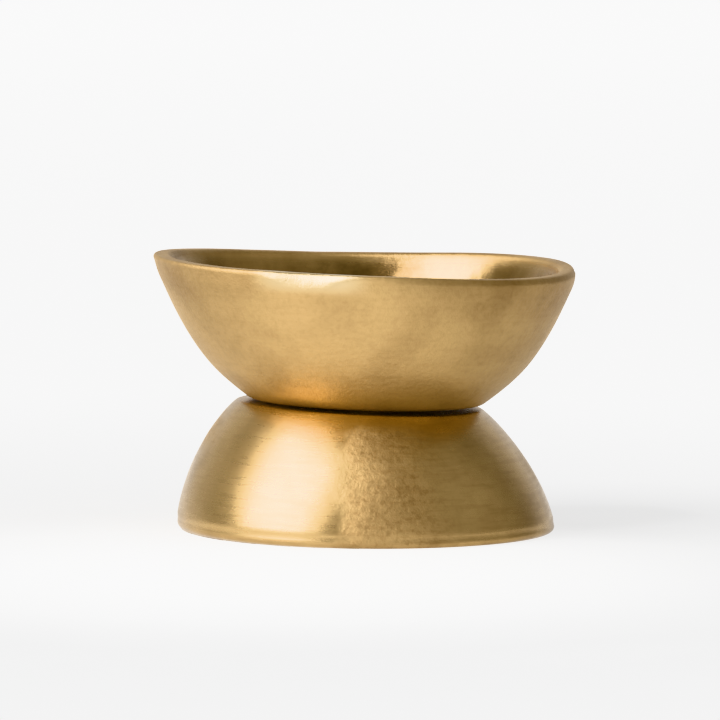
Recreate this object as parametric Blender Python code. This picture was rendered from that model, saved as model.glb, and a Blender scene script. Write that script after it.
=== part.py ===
"""A pair of hand-finished brass finger cymbals, put away one on top of the other.

The narrower cup stands mouth down on its rim and the wider cup stands mouth up on it, crown to crown.
Each cup has a hole for its cord through the middle of the crown. Metres, +Z up, -Y is the front.
"""

from dataclasses import dataclass
from math import atan2, cos, pi, radians, sin, tan

import bmesh
import bpy
from mathutils import Vector
from mathutils.geometry import interpolate_bezier

MM = 0.001
SPIN_STEPS = 72  # facets round each cup
WALL_STEPS = 10  # rings up each side of a wall
EDGE_STEPS = 4  # rings round each rounded edge
WELD = 0.01 * MM

CORD_HOLE_RADIUS = 3.2 * MM
CORD_SEAT_RADIUS = 7.0 * MM  # flat ring round the hole, inside the cup, where the cord's knot sits
STACK_GAP = 0.3 * MM  # clearance between the two crowns at their closest


@dataclass
class Cup:
    """One cup, mouth up in its own frame: the outside of its crown is at z = 0 and its rim at z = height."""

    rim_radius: float
    height: float
    crown_radius: float  # flat part of the crown's outside
    crown_edge: float  # radius of the turn from the crown to the wall
    wall_start: float  # slope of the outer wall just above the crown
    wall_end: float  # and its slope at the lip
    start_pull: float  # how far the wall holds its first slope
    end_pull: float  # and its last one
    lip_thickness: float
    lip_edge: float  # rounding of the lip's two edges
    crown_lean: float  # slope of the crown across the cup, from hand casting
    rim_shift: float  # how far along X the rim's middle stands from the crown's middle
    rim_waves: tuple  # (number of crests, height, direction of the first crest)
    crown_at: float  # where the crown's middle stands along X


UPPER = Cup(
    rim_radius=32.4 * MM,
    height=21.25 * MM,
    crown_radius=17.1 * MM,
    crown_edge=2.0 * MM,
    wall_start=radians(38),
    wall_end=radians(67),
    start_pull=8.5 * MM,
    end_pull=10.5 * MM,
    lip_thickness=2.9 * MM,
    lip_edge=1.0 * MM,
    crown_lean=0.0,
    rim_shift=-0.8 * MM,
    rim_waves=((2, 0.37 * MM, radians(22)), (3, 0.26 * MM, radians(37))),
    crown_at=0.33 * MM,
)
LOWER = Cup(
    rim_radius=29.0 * MM,
    height=19.25 * MM,
    crown_radius=18.4 * MM,
    crown_edge=1.0 * MM,
    wall_start=radians(39),
    wall_end=radians(83),
    start_pull=4.4 * MM,
    end_pull=7.6 * MM,
    lip_thickness=3.2 * MM,
    lip_edge=0.8 * MM,
    crown_lean=radians(1.9),
    rim_shift=1.2 * MM,
    rim_waves=(),  # it stands on this rim, which is rubbed flat
    crown_at=-0.5 * MM,
)
CROWN_THICKNESS = 3.4 * MM
FLOOR_RADIUS = 12.0 * MM  # flat part of the crown's inside
INNER_START = radians(6)
INNER_PULLS = (8.0 * MM, 9.0 * MM)
UPPER_TILT = radians(1.3)  # the upper cup settles towards the low side of the lower crown


def slope(angle):
    return Vector((cos(angle), 0, sin(angle)))


def arc(middle, radius, start, end):
    """Points along part of a circle in the X-Z plane."""
    turns = [start + (end - start) * step / EDGE_STEPS for step in range(EDGE_STEPS + 1)]
    return [middle + radius * slope(turn) for turn in turns]


def wall(start, start_slope, start_pull, end, end_slope, end_pull):
    """One side of a wall, from the crown to the lip."""
    first = start + start_pull * slope(start_slope)
    last = end - end_pull * slope(end_slope)
    return interpolate_bezier(start, first, last, end, WALL_STEPS + 1)


def outline(cup):
    """Half of the cup's section: out along the crown, up the wall, over the lip and back down to the hole."""
    lip_middle = cup.height - cup.lip_edge
    inner_radius = cup.rim_radius - cup.lip_thickness
    outer_lip = arc(Vector((cup.rim_radius - cup.lip_edge, 0, lip_middle)), cup.lip_edge, 0, pi / 2)
    inner_lip = arc(Vector((inner_radius + cup.lip_edge, 0, lip_middle)), cup.lip_edge, pi / 2, pi)
    crown_turn = Vector((cup.crown_radius, 0, cup.crown_edge))
    crown_edge = arc(crown_turn, cup.crown_edge, -pi / 2, cup.wall_start - pi / 2)
    floor_edge = Vector((FLOOR_RADIUS, 0, CROWN_THICKNESS))
    outside = wall(crown_edge[-1], cup.wall_start, cup.start_pull, outer_lip[0], cup.wall_end, cup.end_pull)
    inside = wall(floor_edge, INNER_START, INNER_PULLS[0], inner_lip[-1], cup.wall_end, INNER_PULLS[1])
    seat = Vector((CORD_SEAT_RADIUS, 0, CROWN_THICKNESS))
    hole_bottom = Vector((CORD_HOLE_RADIUS, 0, 0))
    hole_top = Vector((CORD_HOLE_RADIUS, 0, CROWN_THICKNESS))
    return [hole_bottom, *crown_edge, *outside[1:-1], *outer_lip, *inner_lip, *inside[-2::-1], seat, hole_top]


def spun(cup):
    """The outline turned a full circle round the cup's axis, as one closed mesh."""
    mesh = bmesh.new()
    ring = [mesh.verts.new(point) for point in outline(cup)]
    edges = [mesh.edges.new(pair) for pair in zip(ring, ring[1:] + ring[:1])]
    full = {"cent": (0, 0, 0), "axis": (0, 0, 1), "angle": 2 * pi, "steps": SPIN_STEPS}
    bmesh.ops.spin(mesh, geom=ring + edges, use_merge=True, **full)
    bmesh.ops.remove_doubles(mesh, verts=mesh.verts, dist=WELD)
    bmesh.ops.recalc_face_normals(mesh, faces=mesh.faces)
    return mesh


def leave_out_of_true(mesh, cup):
    """What hand work leaves: a crown that leans, a rim to one side of it, and a rim that isn't level."""
    for vert in mesh.verts:
        up = vert.co.z / cup.height
        turn = atan2(vert.co.y, vert.co.x)
        lean = (1 - up) * tan(cup.crown_lean) * vert.co.x
        waves = sum(height * cos(crests * (turn - first)) for crests, height, first in cup.rim_waves)
        vert.co.z += lean + up**3 * waves
        vert.co.x += up * cup.rim_shift


def brass(name, colour, roughness):
    material = bpy.data.materials.new(name)
    material.use_nodes = True
    shader = material.node_tree.nodes["Principled BSDF"]
    shader.inputs["Base Color"].default_value = (*colour, 1)
    shader.inputs["Metallic"].default_value = 1.0
    shader.inputs["Roughness"].default_value = roughness
    return material


def cymbal(name, cup, material):
    mesh = spun(cup)
    leave_out_of_true(mesh, cup)
    data = bpy.data.meshes.new(name)
    mesh.to_mesh(data)
    mesh.free()
    data.shade_smooth()
    data.materials.append(material)
    made = bpy.data.objects.new(name, data)
    bpy.context.scene.collection.objects.link(made)
    return made


def build():
    for old in list(bpy.data.objects):
        bpy.data.objects.remove(old)

    lower = cymbal("lower_cymbal", LOWER, brass("lower_brass", (0.60, 0.40, 0.19), 0.36))
    lower.location = (LOWER.crown_at, 0, LOWER.height)
    lower.rotation_euler.x = pi

    # The upper crown clears the high side of the lower one, and the gap opens towards its low side.
    high_side = LOWER.crown_radius * (tan(LOWER.crown_lean) - tan(UPPER_TILT))
    upper = cymbal("upper_cymbal", UPPER, brass("upper_brass", (0.66, 0.45, 0.22), 0.30))
    upper.location = (UPPER.crown_at, 0, LOWER.height + high_side + STACK_GAP)
    upper.rotation_euler.y = UPPER_TILT


build()
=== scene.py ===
"""The looks of a pair of brass finger cymbals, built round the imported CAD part.

Both cups are rebuilt as fine meshes on the CAD's own section, with the marks that casting, hammering and
filing leave in their surfaces, and stand in for the plainer CAD nodes.
"""

from dataclasses import dataclass
from math import cos, pi, radians, sin, tan
from random import Random

import bpy
import numpy as np
from mathutils import Euler, Matrix, Vector, noise
from mathutils.geometry import interpolate_bezier


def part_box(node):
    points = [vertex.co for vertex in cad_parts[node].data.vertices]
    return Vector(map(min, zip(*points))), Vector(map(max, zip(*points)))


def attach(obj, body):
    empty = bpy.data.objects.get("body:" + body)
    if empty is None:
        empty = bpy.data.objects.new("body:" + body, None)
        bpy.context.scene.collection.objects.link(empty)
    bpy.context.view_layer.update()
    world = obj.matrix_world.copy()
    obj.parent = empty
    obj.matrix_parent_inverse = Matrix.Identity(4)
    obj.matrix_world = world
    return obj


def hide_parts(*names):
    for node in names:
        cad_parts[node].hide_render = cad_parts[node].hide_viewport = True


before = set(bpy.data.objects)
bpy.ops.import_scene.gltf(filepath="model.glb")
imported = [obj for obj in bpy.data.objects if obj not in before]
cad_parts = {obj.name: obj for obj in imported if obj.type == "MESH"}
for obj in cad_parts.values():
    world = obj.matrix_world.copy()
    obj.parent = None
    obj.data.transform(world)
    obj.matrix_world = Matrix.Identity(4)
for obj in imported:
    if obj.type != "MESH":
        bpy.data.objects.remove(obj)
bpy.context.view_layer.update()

MM = 0.001
COLUMNS = 448  # points round each cup
OUTER_GAP = 0.36 * MM  # distance between rings of points on the outside
INNER_GAP = 0.60 * MM  # and on the inside
FINE_GAP = 0.22 * MM  # and where the section turns sharply
ARC_STEPS = 12
WALL_STEPS = 80
FADE_RINGS = 6  # how many rings one part of the surface takes to fade into the next
FRONT = -pi / 2  # direction of the camera's side of the cup


@dataclass
class Cup:
    """The CAD's driving sizes for one cup, mouth up in its own frame, with the crown's outside at z = 0."""

    node: str
    body: str
    height: float
    crown_radius: float
    crown_edge: float
    wall_start: float
    wall_end: float
    start_pull: float
    end_pull: float
    lip_thickness: float
    outer_edge: float  # rounding of the lip's outer edge
    inner_edge: float  # and of its inner edge
    crown_lean: float
    rim_shift: float
    rim_waves: tuple  # each wave's number of crests, its height and its first crest's direction
    place: Euler  # how the cup is turned where it stands


UPPER = Cup(
    node="upper_cymbal",
    body="upper",
    height=21.25 * MM,
    crown_radius=17.1 * MM,
    crown_edge=2.0 * MM,
    wall_start=radians(38),
    wall_end=radians(67),
    start_pull=8.5 * MM,
    end_pull=10.5 * MM,
    lip_thickness=2.9 * MM,
    outer_edge=0.45 * MM,
    inner_edge=0.9 * MM,
    crown_lean=0.0,
    rim_shift=-0.8 * MM,
    rim_waves=((2, 0.37 * MM, radians(22)), (3, 0.26 * MM, radians(37))),
    place=Euler((0, radians(1.3), 0)),
)
LOWER = Cup(
    node="lower_cymbal",
    body="lower",
    height=19.25 * MM,
    crown_radius=18.4 * MM,
    crown_edge=1.0 * MM,
    wall_start=radians(39),
    wall_end=radians(83),
    start_pull=4.4 * MM,
    end_pull=7.6 * MM,
    lip_thickness=3.2 * MM,
    outer_edge=0.9 * MM,
    inner_edge=0.8 * MM,
    crown_lean=radians(1.9),
    rim_shift=1.2 * MM,
    rim_waves=(),
    place=Euler((pi, 0, 0)),
)
CROWN_THICKNESS = 3.4 * MM
CORD_HOLE_RADIUS = 3.2 * MM
HOLE_EDGE = 0.5 * MM
FLOOR_RADIUS = 12.0 * MM
INNER_START = radians(6)
INNER_START_PULL = 8.0 * MM
INNER_END_PULL = 9.0 * MM

# What the CAD leaves out.
SWELL = 0.30 * MM  # how much fuller the upper cup's wall is, between its rim and its foot
WORN_SPOT = 1.15 * MM  # how far the upper lip is worn back at the spot left of the front
WORN_RIGHT = 0.45 * MM  # and on the right
FILED_DEPTH = 0.13 * MM  # of the band round the lower cup's rim
FILED_RADIUS = 27.3 * MM  # the band's inner edge
PIT_DEPTH = 0.03 * MM


# ---- section of a cup ----


def slope(angle):
    return Vector((cos(angle), 0, sin(angle)))


def arc(across, up, radius, start, end):
    """Points along part of a circle in the X-Z plane."""
    turns = [start + (end - start) * step / ARC_STEPS for step in range(ARC_STEPS + 1)]
    return [Vector((across, 0, up)) + radius * slope(turn) for turn in turns]


def wall(start, start_slope, start_pull, end, end_slope, end_pull):
    first = start + start_pull * slope(start_slope)
    last = end - end_pull * slope(end_slope)
    return interpolate_bezier(start, first, last, end, WALL_STEPS)


def section(cup, rim_radius):
    """The cup's closed section as (part, spacing of points, points) in order, from the hole out and back."""
    hole, edge = CORD_HOLE_RADIUS, HOLE_EDGE
    lip_inside = rim_radius - cup.lip_thickness
    crown_turn = arc(cup.crown_radius, cup.crown_edge, cup.crown_edge, -pi / 2, cup.wall_start - pi / 2)
    outer_lip = arc(rim_radius - cup.outer_edge, cup.height - cup.outer_edge, cup.outer_edge, 0, pi / 2)
    inner_lip = arc(lip_inside + cup.inner_edge, cup.height - cup.inner_edge, cup.inner_edge, pi / 2, pi)
    floor_edge = Vector((FLOOR_RADIUS, 0, CROWN_THICKNESS))
    outside = wall(crown_turn[-1], cup.wall_start, cup.start_pull, outer_lip[0], cup.wall_end, cup.end_pull)
    inside = wall(floor_edge, INNER_START, INNER_START_PULL, inner_lip[-1], cup.wall_end, INNER_END_PULL)
    hole_bottom = arc(hole + edge, edge, edge, pi, 1.5 * pi)
    hole_top = arc(hole + edge, CROWN_THICKNESS - edge, edge, pi / 2, pi)
    return [
        ("hole", FINE_GAP, hole_bottom),
        ("crown", INNER_GAP, [hole_bottom[-1], crown_turn[0]]),
        ("crown", FINE_GAP, crown_turn),
        ("outside", OUTER_GAP, outside),
        ("lip", FINE_GAP, outer_lip + inner_lip),
        ("inside", INNER_GAP, inside[::-1]),
        ("floor", INNER_GAP, [floor_edge, hole_top[0]]),
        ("hole", FINE_GAP, hole_top),
        ("hole", INNER_GAP, [hole_top[-1], hole_bottom[0]]),
    ]


def rings_of(cup, rim_radius):
    """Evenly spaced (x, z) points round the section, and the part that each one belongs to."""
    points, parts = [], []
    for part, gap, stretch in section(cup, rim_radius):
        line = np.array([(p.x, p.z) for p in stretch])
        along = np.concatenate([[0], np.cumsum(np.hypot(*np.diff(line, axis=0).T))])
        stops = np.linspace(0, along[-1], max(2, round(along[-1] / gap)) + 1)[:-1]
        points.append(np.column_stack([np.interp(stops, along, line[:, axis]) for axis in (0, 1)]))
        parts += [part] * len(stops)
    return np.concatenate(points), np.array(parts)


# ---- tools for the shape ----


def smooth(low, high, value):
    """0 at low, 1 at high and an even ramp between them. low may be the larger of the two."""
    share = np.clip((value - low) / (high - low), 0, 1)
    return share * share * (3 - 2 * share)


def outward(grid):
    """Unit normals of the rows of points."""
    along = np.roll(grid, -1, axis=0) - np.roll(grid, 1, axis=0)
    sideways = np.roll(grid, -1, axis=1) - np.roll(grid, 1, axis=1)
    normals = np.cross(sideways, along)
    return normals / np.linalg.norm(normals, axis=-1, keepdims=True)


def noise_at(grid, size, seed):
    """Perlin noise at every point, about -1 to 1, with features of this size."""
    shift = Vector((seed * 3.7, seed * 5.3, seed * 7.9))
    flat = grid.reshape(-1, 3) / size
    values = [noise.noise(Vector(point) + shift) for point in flat]
    return np.array(values).reshape(grid.shape[:2])


def uneven(grid, depth, size, seed):
    """How far each point stands out where the surface is uneven to this depth."""
    return depth * noise_at(grid, size, seed)


def dents(grid, rows, count, radii, depths, seed):
    """Shallow round dents, scattered evenly over these rows: how deep each point lies."""
    draw = Random(seed)
    depth = np.zeros(grid.shape[:2])
    for _ in range(count):
        centre = grid[draw.choice(rows), draw.randrange(COLUMNS)]
        radius = draw.uniform(*radii)
        most = draw.uniform(*depths)
        share = 1 - ((grid - centre) ** 2).sum(axis=-1) / radius**2
        depth += most * np.clip(share, 0, None) ** 2
    return depth


def spread(parts, wanted, reach=FADE_RINGS):
    """1 on the rings of the wanted parts, fading to 0 over this many rings on each side."""
    here = np.isin(parts, wanted).astype(float)
    kernel = np.hanning(2 * reach + 1)
    wrapped = np.concatenate([here[-reach:], here, here[:reach]])
    return np.convolve(wrapped, kernel / kernel.sum(), mode="valid")[:, None]


def rows_of(parts, wanted):
    return np.flatnonzero(np.isin(parts, wanted)).tolist()


def off_azimuth(turn, azimuth):
    """Degrees from this azimuth to each column, -180 to 180.

    Azimuth 0 is the camera's side, and + is to its right.
    """
    off = turn - FRONT - radians(azimuth)
    return np.degrees(np.arctan2(np.sin(off), np.cos(off)))[None, :]


def facing(turn, azimuth, core, edge):
    """1 within core degrees of this azimuth and 0 beyond edge."""
    return 1 - smooth(core, edge, np.abs(off_azimuth(turn, azimuth)))


def rounded(grid, share, reach=FADE_RINGS):
    """The rows of points, each moved by this share to the mean of its neighbours along the section."""
    kernel = np.hanning(2 * reach + 3)[1:-1]
    padded = np.concatenate([grid[-reach:], grid, grid[:reach]])
    weights = enumerate(kernel / kernel.sum())
    mean = sum(weight * padded[row : row + len(grid)] for row, weight in weights)
    return grid + share[..., None] * (mean - grid)


# ---- shape of a cup ----


def rim_radius_of(cup):
    low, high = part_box(cup.node)
    return (high.y - low.y) / 2


def turned(cup):
    """The cup with the CAD's own departures from true, as rows of points, one row for each ring.

    With it come each row's part, each column's direction, and each point's height as a share of the cup's.
    """
    rings, parts = rings_of(cup, rim_radius_of(cup))
    turn = np.linspace(0, 2 * pi, COLUMNS, endpoint=False)
    x = rings[:, :1] * np.cos(turn)
    y = rings[:, :1] * np.sin(turn)
    up = np.repeat(rings[:, 1:] / cup.height, COLUMNS, axis=1)
    waves = sum(height * np.cos(crests * (turn - first)) for crests, height, first in cup.rim_waves)
    z = rings[:, 1:] + (1 - up) * tan(cup.crown_lean) * x + up**3 * waves
    return np.stack([x + up * cup.rim_shift, y, z], axis=-1), parts, turn, up


def placed(cup, grid):
    """The points turned as the cup stands, in the middle of the CAD node's box and level with its bottom."""
    turned_points = grid @ np.array(cup.place.to_matrix()).T
    low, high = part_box(cup.node)
    flat = turned_points.reshape(-1, 3)
    move = (np.array(low + high) - flat.min(0) - flat.max(0)) / 2
    move[2] = low.z - flat[:, 2].min()
    return turned_points + move


def mesh_of(name, grid, shades):
    """A closed quad mesh of the rows of points, with each named shade as a point attribute."""
    rows, columns = grid.shape[:2]
    here = np.arange(rows * columns).reshape(rows, columns)
    above = np.roll(here, -1, axis=0)
    faces = np.stack([here, np.roll(here, -1, axis=1), np.roll(above, -1, axis=1), above], axis=-1)
    mesh = bpy.data.meshes.new(name)
    mesh.from_pydata(grid.reshape(-1, 3).tolist(), [], faces.reshape(-1, 4).tolist())
    for shade, values in shades.items():
        attribute = mesh.attributes.new(shade, "FLOAT", "POINT")
        attribute.data.foreach_set("value", values.ravel().astype(np.float32))
    mesh.shade_smooth()
    return mesh


def worn_lip(cup, grid, parts, turn, up):
    """The lip's outer edge worn in towards the axis, most at one spot left of the front.

    The right of the lip is worn a little too, over a longer stretch.
    """
    azimuth = off_azimuth(turn, 0)
    worn_round = smooth(-31, -17, azimuth) * smooth(-1, -15, azimuth)
    worn_flat = facing(turn, azimuth=55, core=30, edge=58)
    spot = WORN_SPOT * worn_round
    right = WORN_RIGHT * worn_flat
    # The wear runs out a little way down the wall, and on the lip towards its inner edge.
    below = cup.height * (1 - up)
    on_wall = spot * np.clip(1 - below / (2.8 * spot + 0.01 * MM), 0, 1) ** 2.2
    on_wall = on_wall + right * np.clip(1 - below / (0.9 * MM), 0, 1) ** 1.3
    radius = np.hypot(grid[..., 0], grid[..., 1])
    inwards = np.clip((radius.max(axis=0) - radius) / cup.lip_thickness, 0, 1)
    off_lip = np.where((parts == "outside")[:, None], on_wall, 0)
    worn = np.where((parts == "lip")[:, None], (spot + right) * (1 - inwards) ** 1.6, off_lip)
    moved = grid.copy()
    moved[..., :2] *= (1 - worn / radius)[..., None]
    near = smooth(3.0 * MM, 1.0 * MM, below) * np.isin(parts, ["outside", "lip"])[:, None]
    outer_side = np.clip(1.5 * (1 - inwards), 0, 1)
    return rounded(moved, np.maximum(worn_round, 0.6 * worn_flat) * near * outer_side)


def shape_upper():
    grid, parts, turn, up = turned(UPPER)
    grid = worn_lip(UPPER, grid, parts, turn, up)
    normals = outward(grid)
    outside = spread(parts, ["outside", "lip"])
    inside = spread(parts, ["inside", "floor"])
    wall_rows = rows_of(parts, ["outside"])
    inner_rows = rows_of(parts, ["inside", "floor"])
    push = uneven(grid, depth=0.05 * MM, size=11 * MM, seed=1) * (outside + inside)
    push += uneven(grid, depth=0.008 * MM, size=3 * MM, seed=2) * outside
    push += uneven(grid, depth=0.025 * MM, size=1.8 * MM, seed=3) * inside
    push += SWELL * outside * smooth(-0.06, 0.30, up) * smooth(1.0, 0.86, up)
    push -= outside * dents(
        grid, wall_rows, count=60, radii=(3 * MM, 6 * MM), depths=(0.01 * MM, 0.03 * MM), seed=11
    )
    push -= inside * dents(
        grid, inner_rows, count=260, radii=(2 * MM, 4 * MM), depths=(0.03 * MM, 0.08 * MM), seed=32
    )
    grid = grid + normals * push[..., None]
    hollow = np.clip(inside - 0.1, 0, 1) * np.ones_like(up)
    below = UPPER.height * (1 - up)
    deep = hollow * smooth(0.6 * MM, 1.8 * MM, below)
    # The worn spot at the front of the lip is smoother and painted lighter: partly worn metal, partly a
    # painted highlight where the window's reflection lands.
    polish_and_highlight = facing(turn, azimuth=-15, core=7, edge=18) * smooth(3.4 * MM, 1.0 * MM, below) * (1 - hollow)
    # Painted shade: the brass under the lip is darkened all round, but for the worn spot at the front, where
    # the window's light shows on it.
    painted_side_shade = outside * smooth(0.60, 0.92, up) * (1 - facing(turn, azimuth=-10, core=14, edge=34))
    # Inside under the lip, facing the camera, soft darker patches are laid on: partly real staining, partly
    # painted shade over the window's reflection there.
    off = off_azimuth(turn, 180) + 7 * noise_at(grid, size=7 * MM, seed=4)
    stain_and_shade_inside = deep * smooth(-26, -12, off) * smooth(48, 5, off) * smooth(0.35, 0.8, up)
    # Painted highlight: to the right of that, where the window's reflection lands, the inside is kept
    # cleaner and lighter.
    painted_inner_highlight = 0.7 * facing(turn, azimuth=146, core=8, edge=20)
    shades = {
        # Patina in the hollows, lightened where the inner highlight is painted, plus the painted shade under
        # the lip.
        "tarnish_and_shade": np.clip((0.2 * hollow + 0.8 * deep) * (1 - painted_inner_highlight) + 0.55 * painted_side_shade * (1 - hollow), 0, 1),
        "pitted": np.clip(1.0 - 0.98 * hollow - 0.6 * polish_and_highlight, 0, 1),
        "stain_and_shade": np.clip(0.5 * stain_and_shade_inside + 0.1 * deep, 0, 1),
        "worn_and_highlight": np.clip(polish_and_highlight, 0, 1),
    }
    return mesh_of("upper_cup", placed(UPPER, grid), shades)


def pitted_patches(grid, turn, up):
    """Where the lower cup's skin is pitted: one patch right of the front, and others beside and behind.

    This cup stands mouth down, so its own directions run the other way round.
    """
    ragged = noise_at(grid, size=5 * MM, seed=10) + 0.6 * noise_at(grid, size=2 * MM, seed=11)
    off = off_azimuth(-turn, 0) + 5 * noise_at(grid, size=13 * MM, seed=12) + 3 * ragged
    front = smooth(-10, -3, off) * smooth(36, 14, off) * smooth(0.02, 0.14, up)
    clouds = smooth(0.05, 0.35, noise_at(grid, size=16 * MM, seed=5))
    elsewhere = clouds * (1 - facing(-turn, azimuth=-10, core=50, edge=60))
    return np.clip(front + elsewhere, 0, 1)


def shape_lower():
    grid, parts, turn, up = turned(LOWER)
    normals = outward(grid)
    outside = spread(parts, ["outside"])
    inside = spread(parts, ["inside", "floor"])
    wall_rows = rows_of(parts, ["outside"])
    inner_rows = rows_of(parts, ["inside", "floor"])
    patch = pitted_patches(grid, turn, up)
    push = uneven(grid, depth=0.05 * MM, size=11 * MM, seed=6) * (outside + inside)
    push += uneven(grid, depth=0.008 * MM, size=2.5 * MM, seed=7) * outside
    push -= outside * dents(
        grid, wall_rows, count=90, radii=(3 * MM, 5.5 * MM), depths=(0.01 * MM, 0.03 * MM), seed=21
    )
    pits = noise_at(grid, size=1.0 * MM, seed=8) + noise_at(grid, size=2.4 * MM, seed=9)
    push -= PIT_DEPTH * pits * patch * outside
    push -= inside * dents(
        grid, inner_rows, count=260, radii=(2 * MM, 4 * MM), depths=(0.03 * MM, 0.09 * MM), seed=23
    )
    # The rim is filed to a narrow slanting band round its outer edge.
    above_table = LOWER.height * (1 - up)
    beyond = grid[..., 0] ** 2 + grid[..., 1] ** 2 > FILED_RADIUS**2
    band = smooth(2.4 * MM, 1.5 * MM, above_table) * beyond
    push -= FILED_DEPTH * band * spread(parts, ["outside", "lip"], reach=2)
    grid = grid + normals * push[..., None]
    hollow = np.clip(inside - 0.1, 0, 1) * np.ones_like(up)
    patch = patch * (1 - hollow)
    # Darker in a narrow band round the rim.
    rim = smooth(0.93, 0.97, up) * (1 - hollow)
    shades = {
        "tarnish_and_shade": np.clip(0.9 * hollow + 0.3 * patch + 0.6 * rim, 0, 1),
        "pitted": np.clip(0.13 + 0.59 * patch, 0, 1),
        "stain_and_shade": np.clip(0.1 * hollow + 0.08 * patch, 0, 1),
        "worn_and_highlight": np.zeros_like(up),
    }
    return mesh_of("lower_cup", placed(LOWER, grid), shades)


# ---- material ----

GOLD = (0.48, 0.327, 0.148, 1)
BROWN = (0.28, 0.18, 0.08, 1)
BLACK = (0.06, 0.036, 0.016, 1)
# Lighter tone of the worn spot, partly a painted highlight.
WORN_HIGHLIGHT_TONE = (0.68, 0.52, 0.29, 1)
WHITE = (1, 1, 1, 1)


class Nodes:
    """A short way to write the nodes of a material or a world."""

    def __init__(self, owner, shader):
        owner.use_nodes = True
        self.tree = owner.node_tree
        self.shader = self.tree.nodes[shader]

    def add(self, kind, settings=None, **inputs):
        node = self.tree.nodes.new(kind)
        for key, value in (settings or {}).items():
            setattr(node, key, value)
        for key, value in inputs.items():
            self.feed(node.inputs[key.replace("_", " ")], value)
        return node

    def feed(self, socket, value):
        if isinstance(value, bpy.types.NodeSocket):
            self.tree.links.new(value, socket)
        else:
            socket.default_value = value

    def fix(self, **constants):
        """Set constants on the shader's own sockets."""
        for key, value in constants.items():
            self.shader.inputs[key.replace("_", " ")].default_value = value

    def noise(self, where, scale, detail, roughness=0.55):
        node = self.add("ShaderNodeTexNoise", Vector=where, Scale=scale, Detail=detail, Roughness=roughness)
        return node.outputs["Fac"]

    def stretched(self, where, scale, lean):
        """Coordinates scaled by this much along each axis, and leaning by this angle."""
        node = self.add("ShaderNodeMapping", Vector=where, Scale=scale, Rotation=(0, lean, 0))
        return node.outputs["Vector"]

    def shade(self, name):
        return self.add("ShaderNodeAttribute", {"attribute_name": name}).outputs["Fac"]

    def ramp(self, value, low, high, start=0.0, end=1.0):
        node = self.add("ShaderNodeMapRange", {"interpolation_type": "SMOOTHSTEP"}, Value=value)
        for key, number in (("From Min", low), ("From Max", high), ("To Min", start), ("To Max", end)):
            self.feed(node.inputs[key], number)
        return node.outputs["Result"]

    def pair(self, kind, operation, first, second):
        node = self.add(kind, {"operation": operation})
        self.feed(node.inputs[0], first)
        self.feed(node.inputs[1], second)
        return node.outputs["Value"]

    def maths(self, operation, first, second):
        return self.pair("ShaderNodeMath", operation, first, second)

    def vectors(self, operation, first, second):
        """A number made from two vectors."""
        return self.pair("ShaderNodeVectorMath", operation, first, second)

    def mixed(self, share, first, second):
        node = self.add("ShaderNodeMix", {"data_type": "RGBA"})
        for socket, value in (("Factor_Float", share), ("A_Color", first), ("B_Color", second)):
            self.feed(next(s for s in node.inputs if s.identifier == socket), value)
        return next(s for s in node.outputs if s.identifier == "Result_Color")

    def bump(self, height, distance, strength, normal=None):
        node = self.add("ShaderNodeBump", Height=height, Distance=distance, Strength=strength)
        if normal:
            self.feed(node.inputs["Normal"], normal)
        return node.outputs["Normal"]


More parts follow.
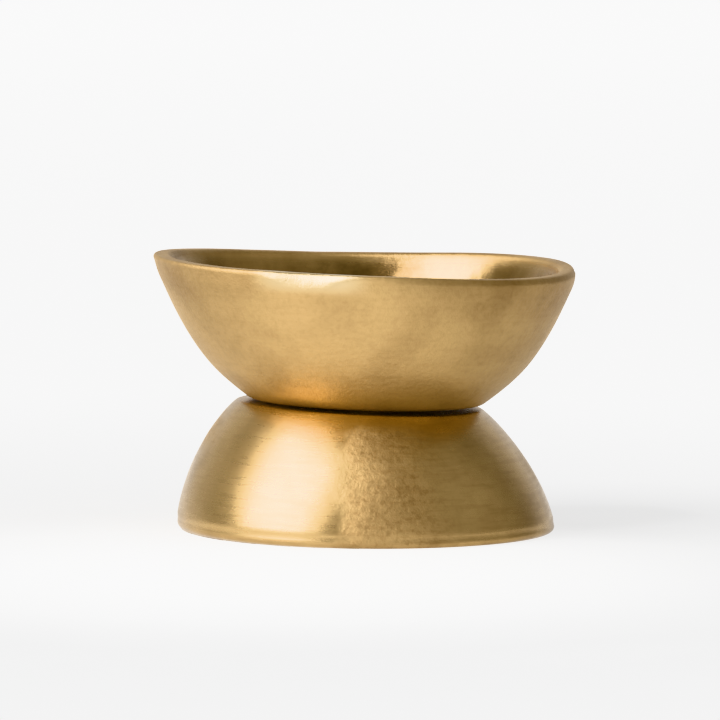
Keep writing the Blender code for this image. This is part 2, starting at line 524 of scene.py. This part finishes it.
def brass(name, base_roughness, brushing):
    """Hand-finished brass: tarnished in the hollows and in clouds, streaks round the cup and small pits, and
    on the upper cup the painted shade and painted highlight that its point shades carry.

    brushing is how strongly the streaks show.
    """
    material = bpy.data.materials.new(name)
    n = Nodes(material, "Principled BSDF")
    here = n.add("ShaderNodeTexCoord").outputs["Object"]
    clouds = n.noise(here, scale=110.0, detail=4.0)
    blots = n.noise(here, scale=420.0, detail=4.0, roughness=0.65)
    speckle = n.noise(here, scale=1200.0, detail=3.0)
    lines = n.noise(n.stretched(here, (120, 120, 4200), radians(4)), scale=1.0, detail=2.0)
    streaks = n.noise(n.stretched(here, (150, 150, 1600), radians(-2)), scale=1.0, detail=3.0)
    pits = n.noise(here, scale=1500.0, detail=4.0, roughness=0.7)
    pitted = n.shade("pitted")

    cloudy = n.maths("MULTIPLY", n.ramp(clouds, 0.40, 0.66), 0.35)
    # Darker where the point shade asks: patina, and on the upper cup also painted shade.
    aged_and_shaded = n.maths("ADD", cloudy, n.maths("MULTIPLY", n.shade("tarnish_and_shade"), 0.75))
    specks = n.maths("MULTIPLY", n.ramp(speckle, 0.45, 0.65), n.maths("MULTIPLY", pitted, 0.45 * brushing))
    streaky = n.maths("MULTIPLY", n.ramp(streaks, 0.45, 0.65), 0.20 * brushing)
    share = n.maths("MINIMUM", n.maths("ADD", n.maths("ADD", aged_and_shaded, specks), streaky), 1.0)
    # Blackened where the point shade asks: real staining, and inside the upper cup also painted shade over
    # the window's reflection.
    stain_and_shade = n.maths("MULTIPLY", n.ramp(blots, 0.35, 0.65, start=0.35), n.shade("stain_and_shade"))
    # Lighter on the upper lip's worn spot: worn metal and a painted highlight.
    skin = n.mixed(n.shade("worn_and_highlight"), n.mixed(share, GOLD, BROWN), WORN_HIGHLIGHT_TONE)
    n.feed(n.shader.inputs["Base Color"], n.mixed(stain_and_shade, skin, BLACK))
    n.fix(Metallic=1.0)

    least = base_roughness + 0.02 * brushing
    rough = n.ramp(streaks, 0.3, 0.7, start=least, end=base_roughness + 0.06 * brushing)
    for shade, most in ((aged_and_shaded, 0.03), (pitted, 0.40), (speckle, 0.03), (stain_and_shade, 0.05)):
        rough = n.maths("ADD", rough, n.maths("MULTIPLY", shade, most))
    n.feed(n.shader.inputs["Roughness"], rough)

    dots = n.maths("MULTIPLY", n.ramp(pits, 0.35, 0.65), pitted)
    brushed = n.bump(lines, distance=0.02 * MM, strength=0.35)
    streaked = n.bump(streaks, distance=0.03 * MM, strength=0.05 * brushing, normal=brushed)
    n.feed(n.shader.inputs["Normal"], n.bump(dots, distance=0.05 * MM, strength=0.5, normal=streaked))
    return material


# ---- scene ----

FLOOR_HALF = 12.0
FLOOR_DARK = (0.16, 0.16, 0.16, 1)
FLOOR_PALE = (0.18, 0.18, 0.18, 1)
POOL_CENTRE = (-0.015, -0.06, 0)
OBJECT_CENTRE = (0, 0, 0.02)
ROOM = 0.36  # brightness of the walls all round
ROOM_SEEN = 1.75  # and as the camera itself sees them
LENS = 292.5
SENSOR = 36
NEAREST = 0.05
FARTHEST = 60
CAMERA_AT = Vector((-0.0005, -0.892, 0.0998))
CAMERA_AIM = Vector((-0.0005, 0, 0.02595))
CAMERA_ROLL = radians(0.61)


def added(name, data):
    """A new object in the scene."""
    made = bpy.data.objects.new(name, data)
    bpy.context.scene.collection.objects.link(made)
    return made


def cymbal(cup, mesh, material):
    piece = added(mesh.name, mesh)
    mesh.materials.append(material)
    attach(piece, cup.body)
    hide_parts(cup.node)
    return piece


def floor():
    """A pale floor that glows: its emission is painted light, brightest in a pool in front of the object,
    dimmer in a ring round it and bright again far away.
    """
    mesh = bpy.data.meshes.new("floor")
    corners = [(x * FLOOR_HALF, y * FLOOR_HALF, 0) for x, y in ((-1, -1), (1, -1), (1, 1), (-1, 1))]
    mesh.from_pydata(corners, [], [(0, 1, 2, 3)])
    material = bpy.data.materials.new("pale_floor")
    n = Nodes(material, "Principled BSDF")
    here = n.add("ShaderNodeTexCoord").outputs["Object"]
    grain = n.noise(here, scale=60.0, detail=3.0)
    n.feed(n.shader.inputs["Base Color"], n.mixed(grain, FLOOR_DARK, FLOOR_PALE))
    n.fix(Roughness=0.9, Specular_IOR_Level=0.0, Emission_Color=WHITE)
    # Painted light: the floor's glow, a bright pool in front, a ring of painted shade round it, and more
    # glow far off.
    away = n.vectors("DISTANCE", here, POOL_CENTRE)
    pool = n.ramp(away, 0.015, 0.085, start=1.56, end=0.76)
    around_it = n.ramp(away, 0.10, 0.30, end=0.32)
    far = n.ramp(away, 0.5, 3.0, end=0.40)
    n.feed(n.shader.inputs["Emission Strength"], n.maths("ADD", pool, n.maths("ADD", around_it, far)))
    mesh.materials.append(material)
    made = added("floor", mesh)


def looking(where, aim):
    """The rotation of a light or camera that stands here and looks at its aim."""
    return (Vector(aim) - Vector(where)).to_track_quat("-Z", "Y")


def around(azimuth, elevation, distance):
    """A point seen from the object in this direction.

    Azimuth 0 is the camera's side, and + is to its right.
    """
    flat = distance * cos(radians(elevation))
    turn = radians(azimuth)
    return (flat * sin(turn), -flat * cos(turn), distance * sin(radians(elevation)))


def panel(name, azimuth, elevation, width, height, distance, brightness):
    """A soft panel that seen from the object spans these angles and shines evenly at this brightness."""
    across = 2 * distance * tan(radians(width / 2))
    upwards = 2 * distance * tan(radians(height / 2))
    data = bpy.data.lights.new(name, "AREA")
    data.shape = "RECTANGLE"
    data.size = across
    data.size_y = upwards
    data.energy = brightness * pi * across * upwards
    where = around(azimuth, elevation, distance)
    light = added(name, data)
    light.location = where
    light.rotation_euler = looking(where, OBJECT_CENTRE).to_euler()


def lobe(n, direction, towards, start, end, share):
    """Light from the part of the sky near this direction."""
    near = n.vectors("DOT_PRODUCT", direction, Vector(towards).normalized())
    return n.ramp(near, start, end, end=share)


def sky():
    """A dim room, lighter behind the object and to its front right, which the camera itself sees as pale."""
    world = bpy.data.worlds.new("studio")
    bpy.context.scene.world = world
    n = Nodes(world, "Background")
    direction = n.add("ShaderNodeTexCoord").outputs["Generated"]
    behind = lobe(n, direction, towards=(-0.15, 0.95, 0.1), start=0.3, end=1.0, share=0.60)
    ahead = lobe(n, direction, towards=(0.87, -0.5, 0.35), start=0.55, end=0.9, share=0.25)
    room = n.maths("ADD", n.maths("ADD", behind, ahead), ROOM)
    seen = n.add("ShaderNodeLightPath").outputs["Is Camera Ray"]
    n.feed(n.shader.inputs["Strength"], n.ramp(seen, 0.0, 1.0, start=room, end=ROOM_SEEN))
    n.fix(Color=WHITE)


def camera():
    data = bpy.data.cameras.new("camera")
    data.lens = LENS
    data.sensor_width = SENSOR
    data.clip_start = NEAREST
    data.clip_end = FARTHEST
    made = added("camera", data)
    made.location = CAMERA_AT
    roll = Matrix.Rotation(CAMERA_ROLL, 4, "Z")
    made.rotation_euler = (looking(CAMERA_AT, CAMERA_AIM).to_matrix().to_4x4() @ roll).to_euler()
    bpy.context.scene.camera = made


upper = cymbal(UPPER, shape_upper(), brass("upper_brass", base_roughness=0.09, brushing=0.3))
lower = cymbal(LOWER, shape_lower(), brass("lower_brass", base_roughness=0.17, brushing=1.0))
floor()
panel("window", azimuth=-58, elevation=32, width=39, height=52, distance=12.0, brightness=16.0)
sky()
camera()
bpy.context.scene.view_settings.view_transform = "Khronos PBR Neutral"
